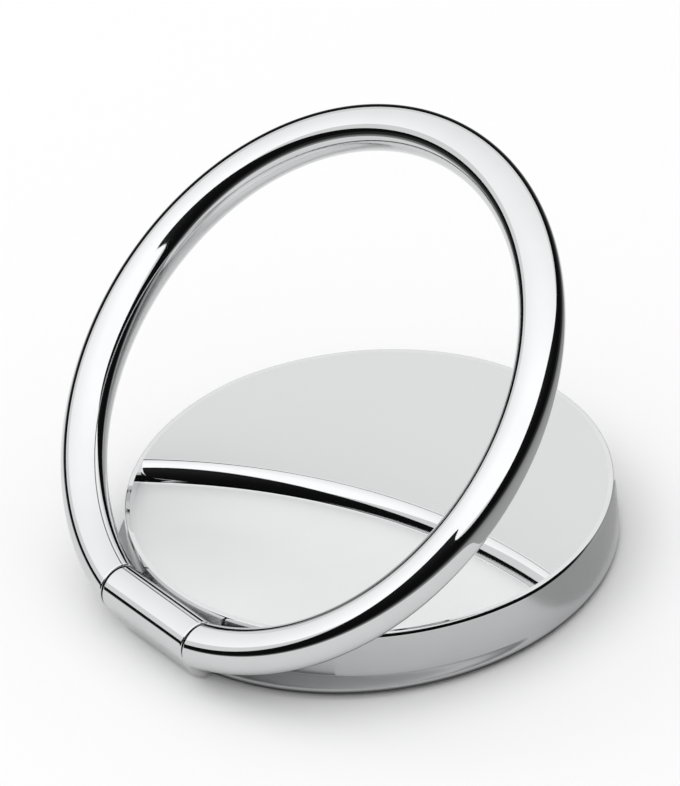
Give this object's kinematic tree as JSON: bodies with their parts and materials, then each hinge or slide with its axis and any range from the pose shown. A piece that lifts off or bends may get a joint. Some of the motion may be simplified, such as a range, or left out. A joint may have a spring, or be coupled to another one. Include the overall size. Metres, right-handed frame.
{
  "type": "phone ring holder",
  "caption": "Polished round phone ring holder: a hinged finger ring folds round a scooped disc that swivels on an adhesive plate, to grip the phone or prop it up.",
  "frame": {"origin": "middle of the adhesive face, on the swivel axis", "axes": "+Z out of the phone along the swivel axis, -Y from the swivel axis to the ring's hinge, +X along the hinge pin"},
  "size_m": [0.0476, 0.0419, 0.0333],
  "materials": {
    "plated_metal": "mirror-polished bright plate on a zinc alloy casting",
    "steel": "plain cold-rolled steel",
    "acetal": "natural moulded acetal",
    "foam_tape": "matt double-sided foam tape"
  },
  "bodies": {
    "mount": {"adhesive_pad": "foam_tape", "mounting_plate": "steel", "glide_ring": "acetal"},
    "disc": {"disc_body": "plated_metal", "hinge_pin": "steel", "retaining_washer": "steel", "spring_washer": "steel"},
    "ring": {"finger_ring": "plated_metal"}
  },
  "joints": [
    {"name": "swivel", "type": "hinge", "parent": "mount", "child": "disc", "pos_m": [0, 0, 0], "axis": [0, 0, 1], "continuous": true},
    {"name": "ring_hinge", "type": "hinge", "parent": "disc", "child": "ring", "pos_m": [0, -0.02003, 0.0036], "axis": [1, 0, 0], "range_deg": [-40, 140]}
  ]
}
